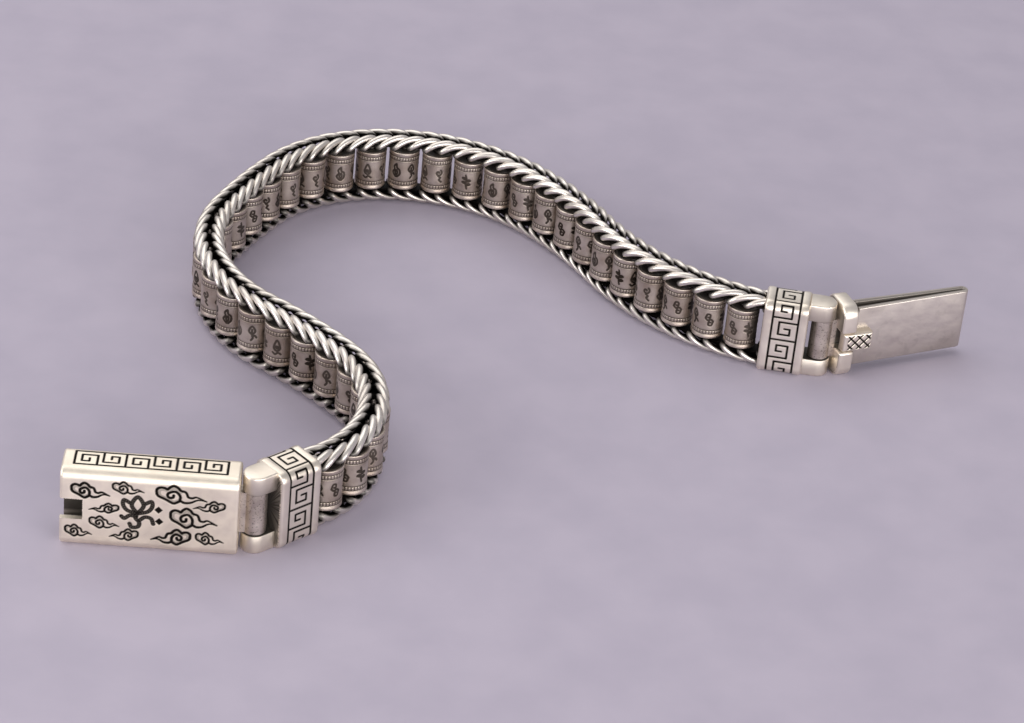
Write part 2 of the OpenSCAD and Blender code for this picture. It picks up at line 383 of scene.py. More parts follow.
def lotus_strokes():
    """A lotus on a curling stem, the generic mark in the middle of the box. Unit square, stem down."""
    petal = smooth_curve([(0, 0.02), (0.15, 0.2), (0.12, 0.36), (0, 0.5), (-0.12, 0.36), (-0.15, 0.2)],
                         10, True)
    side = smooth_curve([(0.03, -0.02), (0.27, 0.06), (0.38, 0.22), (0.36, 0.38), (0.2, 0.3)], 10)
    stem = smooth_curve([(0, 0), (-0.05, -0.16), (0.05, -0.3), (0.02, -0.44), (-0.14, -0.47),
                         (-0.2, -0.36)], 12)
    leaf = smooth_curve([(0.05, -0.24), (0.2, -0.12), (0.36, -0.16), (0.42, -0.32)], 10)
    low = smooth_curve([(-0.03, -0.12), (-0.2, -0.1), (-0.34, -0.2), (-0.42, -0.14)], 10)
    return [petal, side, side * [-1, 1], stem, leaf, low]


def spin(turns, cx, cy, r0, r1, n=30):
    """A spiral round (cx, cy)."""
    t = np.linspace(0, 1, n)
    a = turns[0] + (turns[1] - turns[0]) * t
    r = r0 + (r1 - r0) * t
    return np.stack([cx + r * np.cos(a), cy + r * np.sin(a)], axis=1)


def wheel_marks():
    """Six ornamental marks for the wheels, each in a box 1.4 wide and 2 high around (0, 0)."""
    curl = spin((0.3, 2.3 * math.pi), 0.0, 0.35, 0.08, 0.48)
    curl_tail = smooth_curve([(0.0, -0.13), (0.28, -0.35), (0.1, -0.62), (0.42, -0.95)], 8)
    flame = smooth_curve([(-0.1, -0.85), (-0.52, -0.35), (-0.25, 0.15), (-0.35, 0.55), (0.0, 0.95),
                          (0.08, 0.45), (0.42, 0.2), (0.48, -0.4), (0.1, -0.85)], 8)
    flame_in = smooth_curve([(0.0, -0.6), (-0.16, -0.25), (0.06, 0.1), (0.16, -0.3), (0.0, -0.6)], 8)
    bud = smooth_curve([(0, -0.15), (0.36, 0.2), (0.3, 0.6), (0, 0.95), (-0.3, 0.6), (-0.36, 0.2),
                        (0, -0.15)], 8)
    bud_stem = smooth_curve([(0, 0.5), (0, -0.2), (0.12, -0.6), (-0.1, -0.95)], 8)
    bud_leaf = smooth_curve([(0.05, -0.4), (0.35, -0.3), (0.55, -0.55)], 8)
    wave = smooth_curve([(-0.5, 0.2), (-0.3, 0.75), (0.05, 0.7), (0.05, 0.3), (-0.15, 0.35)], 8)
    wave_low = smooth_curve([(0.5, -0.2), (0.3, -0.75), (-0.05, -0.7), (-0.05, -0.3), (0.15, -0.35)], 8)
    wave_mid = smooth_curve([(-0.5, 0.2), (-0.2, -0.05), (0.2, 0.05), (0.5, -0.2)], 8)
    sprig = smooth_curve([(0.1, -0.95), (-0.05, -0.3), (0.05, 0.3), (-0.1, 0.95)], 8)
    leaves = [smooth_curve([(0.0, y), (s * 0.3, y + 0.22), (s * 0.52, y + 0.1), (s * 0.22, y - 0.02),
                            (0.0, y)], 6)
              for y, s in ((-0.45, 1), (-0.2, -1), (0.1, 1), (0.38, -1))]
    drop = smooth_curve([(0, 0.95), (0.38, 0.1), (0.3, -0.3), (0, -0.45), (-0.3, -0.3), (-0.38, 0.1)],
                        8, True)
    drop_in = spin((0, 3 * math.pi), 0.0, -0.02, 0.03, 0.2)
    drop_foot = smooth_curve([(-0.5, -0.75), (-0.2, -0.95), (0.15, -0.7), (0.5, -0.9)], 8)
    return [[curl, curl_tail], [flame, flame_in], [bud, bud_stem, bud_leaf],
            [wave, wave_mid, wave_low], [sprig] + leaves, [drop, drop_in, drop_foot]]


# Bars of rounded section --------------------------------------------------------------------

def section(w, h, r, front_step, top_step, back_step, cuts=()):
    """Samples round a rounded rectangle, from the middle of the front (y = -w/2) and up.
    Returns points (y, z from the middle), outward normals and the arc length."""
    def span(a, b, step):
        marks = sorted({a, b, *[c for c in cuts if min(a, b) < c < max(a, b)]}, reverse=a > b)
        out = []
        for p, q in zip(marks[:-1], marks[1:]):
            out += list(np.linspace(p, q, max(2, int(abs(q - p) / step) + 1))[:-1])
        return out
    hw, hh = w / 2 - r, h / 2 - r
    corner = np.linspace(0, math.pi / 2, 25)[:-1]
    pts, nrm = [], []
    def flat(values, fixed, vertical, n):
        for c in values:
            pts.append((fixed, c) if vertical else (c, fixed))
            nrm.append(n)
    def arc(cy, cz, start):
        for a in corner:
            n = (math.cos(start - a), math.sin(start - a))
            pts.append((cy + r * n[0], cz + r * n[1]))
            nrm.append(n)
    flat(span(0, hh, front_step), -w / 2, True, (-1, 0))
    arc(-hw, hh, math.pi)
    flat(span(-hw, hw, top_step), h / 2, False, (0, 1))
    arc(hw, hh, math.pi / 2)
    flat(span(hh, -hh, back_step), w / 2, True, (1, 0))
    arc(hw, -hh, 0)
    flat(span(hw, -hw, top_step), -h / 2, False, (0, -1))
    arc(-hw, -hh, -math.pi / 2)
    flat(span(-hh, 0, front_step), -w / 2, True, (-1, 0))
    pts, nrm = np.array(pts), np.array(nrm)
    step = np.hypot(*np.diff(pts, axis=0).T)
    return pts, nrm, np.concatenate([[0], np.cumsum(step)])


def ease(v, length, radius):
    """Inset that rounds both ends of a bar of that length."""
    return round_over(np.minimum(v, length - v), radius)


def bar_points(pts, nrm, x, inset):
    """(n, m, 3) surface of a bar: section samples by stations x, pushed in by inset (n, m)."""
    n, m = len(pts), len(x)
    y = pts[:, :1] - nrm[:, :1] * inset
    z = pts[:, 1:] - nrm[:, 1:] * inset + MID_Z
    return np.stack([np.broadcast_to(x, (n, m)), y, z], axis=-1)


# Materials ----------------------------------------------------------------------------------

def node(tree, kind, x, y, **values):
    n = tree.nodes.new(kind)
    n.location = (x, y)
    for key, value in values.items():
        setattr(n, key, value)
    return n


def ramp(tree, x, y, stops):
    r = tree.nodes.new("ShaderNodeValToRGB")
    r.location = (x, y)
    elements = r.color_ramp.elements
    while len(elements) < len(stops):
        elements.new(0.5)
    for e, (position, colour) in zip(elements, stops):
        e.position = position
        e.color = (*colour, 1)
    return r


def noise(tree, x, y, vector, scale, detail, roughness=0.5):
    """Value of a noise texture read at a vector."""
    n = node(tree, "ShaderNodeTexNoise", x, y, noise_dimensions="3D")
    n.inputs["Scale"].default_value = scale
    n.inputs["Detail"].default_value = detail
    n.inputs["Roughness"].default_value = roughness
    tree.links.new(vector, n.inputs["Vector"])
    return n.outputs["Fac"]


def combine(tree, x, y, operation, first, second):
    """Result of a Math node. second is a node's output or a number."""
    n = node(tree, "ShaderNodeMath", x, y, operation=operation)
    tree.links.new(first, n.inputs[0])
    if isinstance(second, float):
        n.inputs[1].default_value = second
    else:
        tree.links.new(second, n.inputs[1])
    return n.outputs[0]


def blackened(tree, dark, metal, oxide_and_shade_colour):
    """The metal's colour, turned to the dark oxide colour where the mask is dark; the same colour serves for
    oxide and for painted shade.
    """
    colour = node(tree, "ShaderNodeMix", -250, 260, data_type="RGBA")
    tree.links.new(dark, colour.inputs["Factor"])
    tree.links.new(metal, colour.inputs[6])
    colour.inputs[7].default_value = (*oxide_and_shade_colour, 1)
    return colour.outputs[2]


OXIDE_ROUGHNESS = 0.6


def polish(tree, dark, fine, rough):
    """Roughness between the two values of `rough` over the fine grain, and matt where it is dark."""
    gloss = node(tree, "ShaderNodeMapRange", -600, -40)
    gloss.inputs["From Min"].default_value = 0.3
    gloss.inputs["From Max"].default_value = 0.7
    gloss.inputs["To Min"].default_value = rough[0]
    gloss.inputs["To Max"].default_value = rough[1]
    tree.links.new(fine, gloss.inputs["Value"])
    matt = node(tree, "ShaderNodeMix", -250, -40, data_type="FLOAT")
    tree.links.new(dark, matt.inputs["Factor"])
    tree.links.new(gloss.outputs["Result"], matt.inputs[2])
    matt.inputs[3].default_value = OXIDE_ROUGHNESS
    return matt.outputs[0]


def silver(name, bright, dull, oxide_and_shade_colour=(0.012, 0.010, 0.009), rough=(0.28, 0.42), grain=900.0,
           patch=160.0, scratch=(1.0, 1.0, 1.0), bump=0.12, pits=0.0, pit_scale=2600.0):
    """Silver with patches of tarnish, fine scratches, and black wherever the vertex mask says: oxide in
    engraving and hollows, painted shade on faces in shade.
    """
    material = bpy.data.materials.new(name)
    material.use_nodes = True
    tree = material.node_tree
    link = tree.links.new
    shader = tree.nodes["Principled BSDF"]
    shader.inputs["Metallic"].default_value = 1.0
    place = node(tree, "ShaderNodeTexCoord", -1500, 0).outputs["Object"]
    mask = node(tree, "ShaderNodeAttribute", -900, 420, attribute_name="ink").outputs["Fac"]
    stretch = node(tree, "ShaderNodeMapping", -1300, -220)
    stretch.inputs["Scale"].default_value = scratch
    link(place, stretch.inputs["Vector"])
    fine = noise(tree, -1100, -220, stretch.outputs["Vector"], grain, 5.0, 0.6)
    tarnish = ramp(tree, -850, 160, [(0.35, bright), (0.68, dull)])
    link(noise(tree, -1100, 160, place, patch, 4.0), tarnish.inputs["Fac"])
    specks = ramp(tree, -850, -520, [(0.56, (0, 0, 0)), (0.66, (1, 1, 1))])
    link(noise(tree, -1100, -520, place, pit_scale, 3.0), specks.inputs["Fac"])
    pitted = combine(tree, -600, -420, "MULTIPLY", specks.outputs["Color"], pits)
    dark = combine(tree, -420, 300, "MAXIMUM", mask, pitted)
    link(blackened(tree, dark, tarnish.outputs["Color"], oxide_and_shade_colour), shader.inputs["Base Color"])
    link(polish(tree, dark, fine, rough), shader.inputs["Roughness"])
    bumps = node(tree, "ShaderNodeBump", -250, -260)
    bumps.inputs["Strength"].default_value = bump
    bumps.inputs["Distance"].default_value = 0.03 * MM
    link(combine(tree, -600, -240, "SUBTRACT", fine, pitted), bumps.inputs["Height"])
    link(bumps.outputs["Normal"], shader.inputs["Normal"])
    return material


BRAID = silver("braid_silver", (0.82, 0.77, 0.71), (0.68, 0.62, 0.56), rough=(0.28, 0.42), bump=0.10)
WHEEL = silver("wheel_silver", (0.64, 0.56, 0.49), (0.44, 0.36, 0.30), (0.030, 0.022, 0.017),
               rough=(0.34, 0.50), patch=420.0, bump=0.22, pits=0.25)
CAP = silver("cap_silver", (0.89, 0.82, 0.72), (0.76, 0.68, 0.58), rough=(0.33, 0.45), bump=0.08)
BOX = silver("box_silver", (0.92, 0.835, 0.71), (0.78, 0.70, 0.585), rough=(0.42, 0.54), bump=0.08)
CAST = silver("cast_silver", (0.62, 0.55, 0.50), (0.42, 0.36, 0.32), rough=(0.34, 0.52), patch=500.0,
              bump=0.6, pits=0.55, pit_scale=4200.0)
LEAF = silver("leaf_silver", (0.68, 0.62, 0.56), (0.52, 0.46, 0.40), rough=(0.32, 0.46), patch=110.0,
              scratch=(0.10, 1.0, 1.0), bump=0.16, pits=0.10, pit_scale=900.0)


# Braids -------------------------------------------------------------------------------------

LINKS_PER_WHEEL = 2
LINK_STEP = PITCH / LINKS_PER_WHEEL
WIRE_R = 0.425
BRAID_T = 2.0
LINK_SIDE = ((0.55, 0.00, 0.45), (0.42, 0.24, 0.90), (0.05, 0.47, 1.36), (-0.75, 0.74, 1.53),
             (-1.7, 1.04, 1.44), (-2.55, 1.27, 1.16), (-3.2, 1.39, 0.80), (-3.6, 1.37, 0.52),
             (-3.75, 1.05, 0.44), (-3.7, 0.5, 0.43))
LINK_HEEL = (-3.65, 0.0, 0.43)
LINK_SAMPLES = 5
WIRE_SIDES = 12
ODD_DROP = 0.12
LINK_SHIFT = 1.1
WIRE_FLAT = 0.94
WIRE_SPREAD = 0.02


def link_path(odd):
    """The closed path of one braid link round the groove: two arms that lean towards the tongue."""
    half = np.array(LINK_SIDE)
    if odd:
        half = half - np.outer(smoothstep(-2.2, -4.0, half[:, 0]), [0, 0, ODD_DROP])
    other = half[1:][::-1] * [1, -1, 1]
    return smooth_curve(np.vstack([half, [LINK_HEEL], other]), LINK_SAMPLES, closed=True)


def tube(path, radii):
    """(n, WIRE_SIDES, 3) points of a closed tube, and each point's outward direction."""
    ahead_p, behind = np.roll(path, -1, axis=0), np.roll(path, 1, axis=0)
    tangent = ahead_p - behind
    tangent /= np.linalg.norm(tangent, axis=1)[:, None]
    up = np.array([0, 0, 1.0])
    side = np.cross(tangent, up)
    side /= np.maximum(np.linalg.norm(side, axis=1)[:, None], 1e-9)
    rise = np.cross(side, tangent)
    a = np.linspace(0, 2 * math.pi, WIRE_SIDES, endpoint=False)
    out = side[:, None] * np.cos(a)[None, :, None] + rise[:, None] * np.sin(a)[None, :, None] * WIRE_FLAT
    return path[:, None] + out * radii[:, None, None], out


def braid_oxide(p, out):
    """Oxide on the sides of the wire that face into the braid."""
    heart = np.stack([np.zeros(p.shape[:2]), 0.35 * p[..., 1], np.full(p.shape[:2], 0.35)], axis=-1)
    away = p - heart
    away[..., 0] = 0
    away /= np.maximum(np.linalg.norm(away, axis=-1)[..., None], 1e-9)
    facing = (out * away).sum(-1)
    tail = 1 - smoothstep(-3.75, -3.3, p[..., 0])
    buried = 1 - smoothstep(0.55, 1.05, p[..., 2] + 0.45 * np.abs(p[..., 1]))
    groove = 1 - smoothstep(0.26, 0.44, np.abs(p[..., 1]))
    return np.maximum.reduce([1 - smoothstep(0.12, 0.58, facing), buried, groove, 0.8 * tail])


def wire_radii(path, scale):
    """The wire is full in the middle of an arm and draws in at its inner and outer tips."""
    inner = 0.62 + 0.38 * smoothstep(0.15, 0.7, np.abs(path[:, 1]))
    outer = 1 - 0.12 * smoothstep(-2.9, -3.7, path[:, 0])
    return WIRE_R * scale * inner * outer


# Share of the width in LINK_SIDE that the links keep.
BRAID_SQUEEZE = 0.99
CORE_HALF_W = 0.95
CORE_LOW, CORE_HIGH = 0.30, 0.85


def add_core(shape, start, end, upper):
    """The blackened heart of a braid, seen between its wires."""
    s = np.linspace(start, end, max(2, int((end - start) / 0.7)))
    ring = [(-CORE_HALF_W, CORE_LOW), (CORE_HALF_W, CORE_LOW), (CORE_HALF_W, 0.6), (0.55, CORE_HIGH),
            (0.0, 0.55), (-0.55, CORE_HIGH), (-CORE_HALF_W, 0.6)]
    p = np.array([[(x, y, braid_height(z, upper)) for y, z in ring] for x in s])
    shape.grid(p, 1.0, closed_v=True)


def braid_height(z, upper):
    """Height above the floor of a height above the braid's wheel side."""
    return BAND_H - BRAID_BOTTOM - BRAID_T + z if upper else BRAID_BOTTOM + BRAID_T - z


def braid_piece(name, k, upper):
    """Links from the middle of run k to the middle of run k + 1. Runs 0 and 12 reach into the caps."""
    shape = Shape()
    first = math.ceil((k - 0.5) * RUN_L / LINK_STEP) if k else -1
    last = math.ceil((k + 0.5) * RUN_L / LINK_STEP) if k < RUNS else int(CHAIN_L / LINK_STEP) + 3
    inside_cap = LEAD + STUB_L - 0.3
    add_core(shape, (k - 0.5) * RUN_L if k else -inside_cap,
             (k + 0.5) * RUN_L if k < RUNS else CHAIN_L + inside_cap, upper)
    rng = np.random.default_rng(SEED + 100 * k + int(upper))
    for n in range(first, last):
        path = link_path(n % 2)
        radii = wire_radii(path, 1 + WIRE_SPREAD * rng.standard_normal())
        p, out = tube(path, radii)
        ink = braid_oxide(p, out)
        p = p + np.array([(n + 0.5) * LINK_STEP + LINK_SHIFT, 0, 0])
        p[..., 0] = np.clip(p[..., 0], -inside_cap, CHAIN_L + inside_cap)
        p[..., 1] *= BRAID_SQUEEZE
        p[..., 2] = braid_height(p[..., 2], upper)
        shape.grid(p, ink, closed_u=True, closed_v=True)
    return shape.build(name, BRAID, chain_points, crease=80, weld=False)


def make_braids():
    for upper in (True, False):
        word = "upper" if upper else "lower"
        for k in range(RUNS + 1):
            obj = braid_piece(f"{word}_braid_{k:02d}", k, upper)
            if k in (0, RUNS):
                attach(obj, run_body(max(k, 1)))
            else:
                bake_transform(obj)
            if upper and k:
                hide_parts(f"braid_pair_{k:02d}")


PIN_HEAD_Z = 0.95


def make_pins():
    """The three pins of each run, their heads low in the grooves."""
    profile = np.array([(0.0, 0.0), (0.2, 0.03), (0.34, 0.12), (0.42, 0.28), (0.42, 0.5), (0.3, 0.55)])
    for k in range(1, RUNS + 1):
        shape = Shape()
        for j in range(RUN_WHEELS):
            x, y, _ = along(RUN_POSES[k - 1], RUN_TURN[k - 1], (j + 0.5) * PITCH)
            low = BRAID_BOTTOM + BRAID_T - PIN_HEAD_Z
            rows = [(r, low + z) for r, z in profile] + [(r, BAND_H - low - z) for r, z in profile[::-1]]
            a = np.linspace(0, 2 * math.pi, 16, endpoint=False)
            p = np.array([[(x + r * math.cos(t), y + r * math.sin(t), z) for r, z in rows] for t in a])
            shape.grid(p, 0.4, closed_u=True)
        obj = shape.build(f"wheel_pins_{k:02d}", CAST, lambda q: q)
        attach(obj, run_body(k))


# Wheels -------------------------------------------------------------------------------------

WHEEL_NU = 192
BEADS = 32
WHEEL_EASE = 0.012
WHEEL_EDGE_R = 0.1
BEAD_LINES = (0.56, 1.10)
BEAD_ROW = 0.83
ENGRAVED = 0.03
END_SINK = 0.06
MARK_HALF = 0.15
MARK_SCALE = (1.0, 0.98)


def wheel_rows():
    """Heights of the mesh rows: close together in the bead bands, wider between them."""
    edge = [0, 0.03, 0.07, 0.12, 0.2, 0.32, 0.42, 0.5]
    beads = list(np.arange(0.54, 1.14, 0.045))
    low = edge + beads
    mid = list(np.linspace(1.17, WHEEL_H - 1.17, 44))
    return np.array(low + mid + [WHEEL_H - z for z in low[::-1]])


def wheel_surface():
    """Radius offset and darkening (oxide in the marks and bead bands, and a darker body) of a wheel's skin
    over angle (as arc length) and height.
    """
    z = wheel_rows()
    arc = np.arange(WHEEL_NU) * math.pi * WHEEL_D / WHEEL_NU
    u, v = np.meshgrid(arc, z, indexing="ij")
    mirrored = np.minimum(v, WHEEL_H - v)
    ink = np.zeros(u.shape)
    for line in BEAD_LINES:
        ink = np.maximum(ink, 0.85 * (1 - smoothstep(0.02, 0.06, np.abs(mirrored - line))))
    bead_pitch = math.pi * WHEEL_D / BEADS
    phase = np.abs((u / bead_pitch) % 1 - 0.5) * bead_pitch
    in_row = (mirrored > BEAD_LINES[0] + 0.02) & (mirrored < BEAD_LINES[1] - 0.02)
    bead = 1 - smoothstep(0.10, 0.15, np.maximum(phase, np.abs(mirrored - BEAD_ROW) * 0.72))
    ink = np.where(in_row, np.maximum(ink, 0.9 * (1 - bead)), ink)
    circumference = math.pi * WHEEL_D
    marks = wheel_marks()
    drawn = np.zeros(u.shape)
    for n, strokes in enumerate(marks):
        centre = (n + 0.5) * circumference / len(marks)
        for stroke in strokes:
            p = dense(stroke * MARK_SCALE, 0.05) + [centre, WHEEL_H / 2]
            draw(drawn, u, v, p, MARK_HALF)
    ink = np.maximum(ink, drawn)
    sunk = 0.05 * smoothstep(0.30, 0.42, mirrored)
    inset = sunk + ENGRAVED * smoothstep(0.3, 1, ink) - ENGRAVED * in_row * bead
    inset += round_over(mirrored, WHEEL_EDGE_R)
    # Darker over the body than on the rims, and darker still in a band just past the bead row.
    darker_body = 0.16 * smoothstep(0.30, 0.5, mirrored)
    darker_body += 0.22 * (1 - smoothstep(0.0, 0.3, np.abs(mirrored - 1.15))) * (mirrored > 1.1)
    return z, arc, inset, np.maximum(ink, darker_body)


def level_ring(x, y, radius, angles, z):
    """A level circle of points round (x, y)."""
    return np.stack([x + radius * np.cos(angles), y + radius * np.sin(angles),
                     np.full(len(angles), z)], axis=1)


def add_wheel_ends(shape, skin, x, y, around):
    """The end faces, sunk a little round the pin, and the bore between them."""
    bore = PIN_D / 2 + 0.06
    for top in (False, True):
        height = WHEEL_Z + (WHEEL_H if top else 0)
        rings = [skin[:, -1 if top else 0]]
        for radius, drop in ((1.5, 0), (1.42, END_SINK), (bore, END_SINK)):
            rings.append(level_ring(x, y, radius, around, height - drop if top else height + drop))
        cap = np.stack(rings, axis=1)
        shape.grid(cap, np.broadcast_to([0.0, 0.2, 0.7, 0.9], cap.shape[:2]), closed_u=True)
    inner = [level_ring(x, y, bore, around, WHEEL_Z + h) for h in (END_SINK, WHEEL_H - END_SINK)]
    shape.grid(np.stack(inner, axis=1), 0.9, closed_u=True)


def make_wheels():
    z, arc, inset, ink = wheel_surface()
    rng = np.random.default_rng(SEED)
    angle = arc / (WHEEL_D / 2)
    r = WHEEL_D / 2 - WHEEL_EASE - inset
    for i in range(1, WHEELS + 1):
        k = (i - 1) // RUN_WHEELS
        x, y, _ = along(RUN_POSES[k], RUN_TURN[k], ((i - 1) % RUN_WHEELS + 0.5) * PITCH)
        around = angle + rng.uniform(0, 2 * math.pi)
        skin = np.stack([x + r * np.cos(around)[:, None], y + r * np.sin(around)[:, None],
                         np.broadcast_to(WHEEL_Z + z, r.shape)], axis=-1)
        shape = Shape()
        worn = np.clip(ink * rng.uniform(0.85, 1.0), 0, 1)
        shape.grid(skin, worn, closed_u=True)
        add_wheel_ends(shape, skin, x, y, around)
        obj = shape.build(f"prayer_wheel_{i:02d}", WHEEL, lambda q: q, crease=50)
        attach(obj, f"wheel_{i:02d}")
        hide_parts(f"wheel_{i:02d}")


# Clasp box ----------------------------------------------------------------------------------

BOX_CLOUDS = ((3.14, 7.24, 4.17, 1, 1.12), (7.11, 7.88, 3.44, 1, 1.08), (12.64, 7.49, 5.52, 1, 1.0),
              (4.73, 5.19, 3.24, -1, 0.92), (15.76, 6.31, 3.45, -1, 1.0), (4.66, 3.34, 3.25, 1, 1.15),
              (14.0, 4.62, 5.13, 1, 1.2), (1.97, 2.07, 2.94, 1, 1.25), (6.88, 1.99, 3.15, -1, 1.15),
              (11.85, 2.12, 4.31, -1, 1.1), (15.8, 2.22, 3.05, 1, 1.25))
BOX_MARK = (8.2, 4.9)
BOX_MARK_SIZE = 4.0
BOX_MARK_HALF = 0.24
BOX_DIAMONDS = ((10.4, 5.44), (10.5, 3.98))
BOX_FRET_W = 2.4
BOX_FRET_Y = -0.98
BOX_FRET_T = 1.3
BOX_FRET_PERIOD = 5.35
ENGRAVE_DEPTH = 0.02
FRET_HALF = 0.14


def box_engraving(v, pts):
    """Mask over stations v (from the mouth) and section samples."""
    vv, zz = np.meshgrid(v, pts[:, 1] + MID_Z)
    yy = np.broadcast_to(pts[:, :1], vv.shape)
    ink = np.zeros(vv.shape)
    front = np.broadcast_to((pts[:, 0] < -BAND_T / 2 + 0.25)[:, None], vv.shape)
    a, b, on_front = vv[front], zz[front], np.zeros(front.sum())
    for x, z, width, direction, rise in BOX_CLOUDS:
        cloud(on_front, a, b, (x, z), width, direction, 0.10 if width < 4.1 else 0.13, rise)
    for stroke in lotus_strokes():
        rope(on_front, a, b, stroke * BOX_MARK_SIZE + BOX_MARK, BOX_MARK_HALF)
    for x, z in BOX_DIAMONDS:
        gap = np.abs(a - x) + np.abs(b - z) - 0.46
        on_front = np.maximum(on_front, 1 - smoothstep(-0.04, 0.04, gap))
    ink[front] = on_front
    length = 3 * BOX_FRET_PERIOD
    for side in (1, -1):
        rows = np.broadcast_to((side * pts[:, 1] > BAND_H / 2 - 0.6)[:, None], vv.shape)
        w, t, drawn = yy[rows] - BOX_FRET_Y, vv[rows], np.zeros(rows.sum())
        strokes = fret_strokes(BOX_FRET_W, BOX_FRET_PERIOD, 3, BOX_FRET_T)
        border = np.array([[0, 0], [BOX_FRET_W, 0], [BOX_FRET_W, length], [0, length]]) + [0, BOX_FRET_T]
        strokes.append(dense(border, closed=True))
        for s in strokes:
            draw(drawn, w, t, s, FRET_HALF)
        ink[rows] = drawn
    return ink


def make_box():
    cuts = (-NOTCH_H / 2, NOTCH_H / 2)
    pts, nrm, _ = section(BAND_T, BAND_H, EDGE_R, 0.065, 0.06, 0.4, cuts)
    v = np.concatenate([[0, 0.04, 0.1, 0.18, 0.28], np.linspace(0.35, NOTCH_L, 32),
                        np.linspace(NOTCH_L, BOX_L - 0.35, 245)[1:],
                        BOX_L - np.array([0.28, 0.18, 0.1, 0.04, 0])])
    x_mouth = -HINGE_REACH - BOX_L
    ink = box_engraving(v, pts)
    inset = ENGRAVE_DEPTH * smoothstep(0.3, 1, ink) + ease(v, BOX_L, 0.3)[None, :]
    outer = bar_points(pts, nrm, x_mouth + v, inset)
    mid_z = (np.abs(pts[:, 1] + np.roll(pts[:, 1], -1)) / 2 < NOTCH_H / 2) & (pts[:, 0] < 0)
    mid_v = (v[:-1] + v[1:]) / 2 < NOTCH_L
    n = len(pts)
    keep = ~(mid_z[:, None] & mid_v[None, :])
    shape = Shape()
    closed = np.concatenate([outer, outer[:1]], axis=0)
    shape.grid(closed, np.concatenate([ink, ink[:1]], axis=0), keep=keep)
    stations = np.array([0, NOTCH_L, BOX_L - BOX_END_T])
    inner = bar_points(pts, nrm, x_mouth + stations, np.full((n, 3), BOX_WALL))
    inner = np.concatenate([inner, inner[:1]], axis=0)
    keep_inner = ~(mid_z[:, None] & np.array([True, False])[None, :])
    # Painted shade: the inside walls and the inner end face are nearly black, and the mouth's rim darkens
    # towards the inside, as the box's inside lies in shade.
    shape.grid(inner[:, ::-1], 0.85, keep=keep_inner[:, ::-1])
    rim = np.stack([closed[:, 0], inner[:, 0]], axis=1)
    shape.grid(rim, np.broadcast_to([0.0, 0.4], rim.shape[:2]), keep=~mid_z[:, None])
    shape.fan(inner[:-1, -1], inner[:-1, -1].mean(0), 0.95)
    shape.fan(outer[:, -1], outer[:, -1].mean(0), 0.1)
    notch_walls(shape, pts, v, closed)
    obj = shape.build("clasp_box", BOX, lambda q: placed(q, BOX_POSE), crease=40)
    finish_piece(obj, "box", "box_silver", "box_shell")


def notch_walls(shape, pts, v, closed):
    """The thickness of the wall shown round the notch, with painted shade: the wall facing up stays light,
    the wall facing down and the end wall are dark.
    """
    front = np.where(pts[:, 0] < -BAND_T / 2 + 0.01)[0]
    stations = np.where(v <= NOTCH_L + 1e-6)[0]
    y_in = -BAND_T / 2 + BOX_WALL
    for z in (-NOTCH_H / 2, NOTCH_H / 2):
        i = front[np.argmin(np.abs(pts[front, 1] - z))]
        outer_edge = closed[i, stations]
        inner_edge = outer_edge.copy()
        inner_edge[:, 1] = y_in
        # Painted shade by facing: light on the wall that faces up, dark on the wall that faces down.
        shape.grid(np.stack([outer_edge, inner_edge], axis=1), 0.1 if z < 0 else 0.92)
    j = stations[-1]
    rows = [i for i in front if abs(pts[i, 1]) <= NOTCH_H / 2 + 1e-6]
    rows.sort(key=lambda i: pts[i, 1])
    outer_edge = closed[rows, j]
    inner_edge = outer_edge.copy()
    inner_edge[:, 1] = y_in
    # Painted shade on the end wall of the notch.
    shape.grid(np.stack([outer_edge, inner_edge], axis=1), 0.92)


def finish_piece(obj, body, slot, *nodes):
    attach(obj, body)
    if nodes:
        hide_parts(*nodes)


# End caps -----------------------------------------------------------------------------------

RIM_W = 1.0
GROOVE_W = 0.25
CAP_FRET_W = CAP_L - 2 * RIM_W - 2 * GROOVE_W


def stadium(r, reach, n=24):
    """Outline of a hinge ear: half a circle round the pin and straight sides to x = reach."""
    a = np.linspace(math.pi / 2, 3 * math.pi / 2, n)
    ring = [(r * math.cos(t), r * math.sin(t)) for t in a]
    side = [(x, -r) for x in np.linspace(0, reach, 6)[1:]]
    return np.array(ring + side + [(x, r) for x in np.linspace(reach, 0, 6)[:-1]])


def add_ear(shape, side, top):
    """One ear with soft edges. side is 1 where the cap lies on +x of its pin, -1 otherwise."""
    h = EAR_T
    steps = ((0.20, 0.0), (0.10, 0.03), (0.03, 0.10), (0.0, 0.21),
             (0.0, h - 0.1), (0.04, h - 0.03), (0.12, h))
    rings = []
    for inset, depth in steps:
        loop = stadium(EAR_R - inset, HINGE_REACH + 0.02)
        z = BAND_H - depth if top else depth
        rings.append(np.stack([side * loop[:, 0], loop[:, 1], np.full(len(loop), z)], axis=1))
    grid = np.stack(rings, axis=1)
    shape.grid(grid, np.broadcast_to([0, 0, 0, 0, 0.2, 0.6, 0.85], grid.shape[:2]), closed_u=True)
    shape.fan(rings[0], rings[0].mean(0), 0.0, flip=True)
    shape.fan(rings[-1], rings[-1].mean(0), 0.9)


